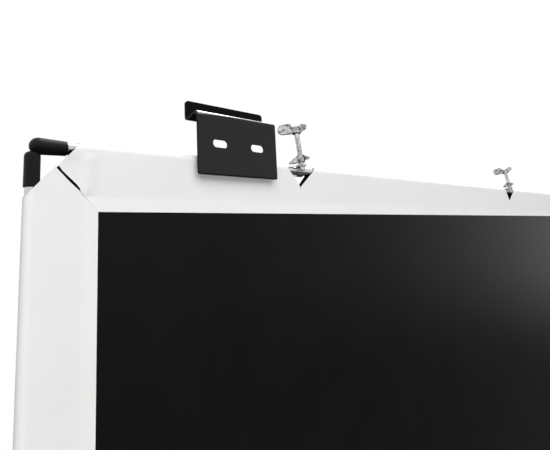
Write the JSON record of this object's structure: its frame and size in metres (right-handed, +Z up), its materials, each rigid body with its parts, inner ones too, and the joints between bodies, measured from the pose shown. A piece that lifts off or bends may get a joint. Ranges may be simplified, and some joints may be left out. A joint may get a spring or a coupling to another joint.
{
  "type": "projection screen",
  "caption": "Wall-mounted projection screen: white cloth with black back on a tube frame, slotted wall brackets and wing-nut hanging bolts.",
  "frame": {"origin": "on the wall plane, halfway between the two brackets, at the height of their slots", "axes": "+X across the screen, to the right as the audience sees it; +Y into the wall; +Z up"},
  "size_m": [1.594, 0.0303, 0.9476],
  "materials": {
    "screen_cloth": "matte",
    "plated_tube": "polished",
    "black_plastic": "satin",
    "black_steel": "satin powder coat",
    "zinc_steel": "bright zinc"
  },
  "bodies": {
    "frame": {"screen_panel": "screen_cloth", "top_pocket": "screen_cloth", "bottom_pocket": "screen_cloth", "right_pocket": "screen_cloth", "left_pocket": "screen_cloth", "top_tube": "plated_tube", "bottom_tube": "plated_tube", "right_tube": "plated_tube", "left_tube": "plated_tube", "top_right_elbow": "black_plastic", "top_left_elbow": "black_plastic", "bottom_right_elbow": "black_plastic", "bottom_left_elbow": "black_plastic"},
    "right_bracket": {"right_wall_bracket": "black_steel", "right_tube_hook": "black_steel"},
    "left_bracket": {"left_wall_bracket": "black_steel", "left_tube_hook": "black_steel"},
    "bolt_1": {"hanging_bolt_1": "zinc_steel", "bolt_saddle_1": "zinc_steel"},
    "lower_wing_nut_1": {"lower_wing_nut_1": "zinc_steel"},
    "upper_wing_nut_1": {"upper_wing_nut_1": "zinc_steel"},
    "bolt_2": {"hanging_bolt_2": "zinc_steel", "bolt_saddle_2": "zinc_steel"},
    "lower_wing_nut_2": {"lower_wing_nut_2": "zinc_steel"},
    "upper_wing_nut_2": {"upper_wing_nut_2": "zinc_steel"},
    "bolt_3": {"hanging_bolt_3": "zinc_steel", "bolt_saddle_3": "zinc_steel"},
    "lower_wing_nut_3": {"lower_wing_nut_3": "zinc_steel"},
    "upper_wing_nut_3": {"upper_wing_nut_3": "zinc_steel"}
  },
  "joints": [
    {"name": "right_bracket_slide", "type": "slide", "parent": "frame", "child": "right_bracket", "axis": [1, 0, 0], "range_m": [-0.015, 0.09]},
    {"name": "left_bracket_slide", "type": "slide", "parent": "frame", "child": "left_bracket", "axis": [-1, 0, 0], "range_m": [-0.015, 0.09]},
    {"name": "bolt_1_swing", "type": "hinge", "parent": "frame", "child": "bolt_1", "pos_m": [0.54075, -0.0104, -0.0157], "axis": [1, 0, 0], "range_deg": [-30, 30]},
    {"name": "lower_nut_1_turn", "type": "hinge", "parent": "bolt_1", "child": "lower_wing_nut_1", "pos_m": [0.54075, -0.0052, -0.00381], "axis": [0, -0.1392, 0.9903], "continuous": true},
    {"name": "upper_nut_1_turn", "type": "hinge", "parent": "bolt_1", "child": "upper_wing_nut_1", "pos_m": [0.54075, -0.00965, 0.02783], "axis": [0, -0.1392, 0.9903], "continuous": true},
    {"name": "bolt_2_swing", "type": "hinge", "parent": "frame", "child": "bolt_2", "pos_m": [0, -0.0104, -0.0157], "axis": [1, 0, 0], "range_deg": [-30, 30]},
    {"name": "lower_nut_2_turn", "type": "hinge", "parent": "bolt_2", "child": "lower_wing_nut_2", "pos_m": [0, -0.0052, -0.00381], "axis": [0, -0.1392, 0.9903], "continuous": true},
    {"name": "upper_nut_2_turn", "type": "hinge", "parent": "bolt_2", "child": "upper_wing_nut_2", "pos_m": [0, -0.00875, 0.02139], "axis": [0, -0.1392, 0.9903], "continuous": true},
    {"name": "bolt_3_swing", "type": "hinge", "parent": "frame", "child": "bolt_3", "pos_m": [-0.54075, -0.0104, -0.0157], "axis": [1, 0, 0], "range_deg": [-30, 30]},
    {"name": "lower_nut_3_turn", "type": "hinge", "parent": "bolt_3", "child": "lower_wing_nut_3", "pos_m": [-0.54075, -0.0052, -0.00381], "axis": [0, -0.1392, 0.9903], "continuous": true},
    {"name": "upper_nut_3_turn", "type": "hinge", "parent": "bolt_3", "child": "upper_wing_nut_3", "pos_m": [-0.54075, -0.00916, 0.02436], "axis": [0, -0.1392, 0.9903], "continuous": true}
  ]
}
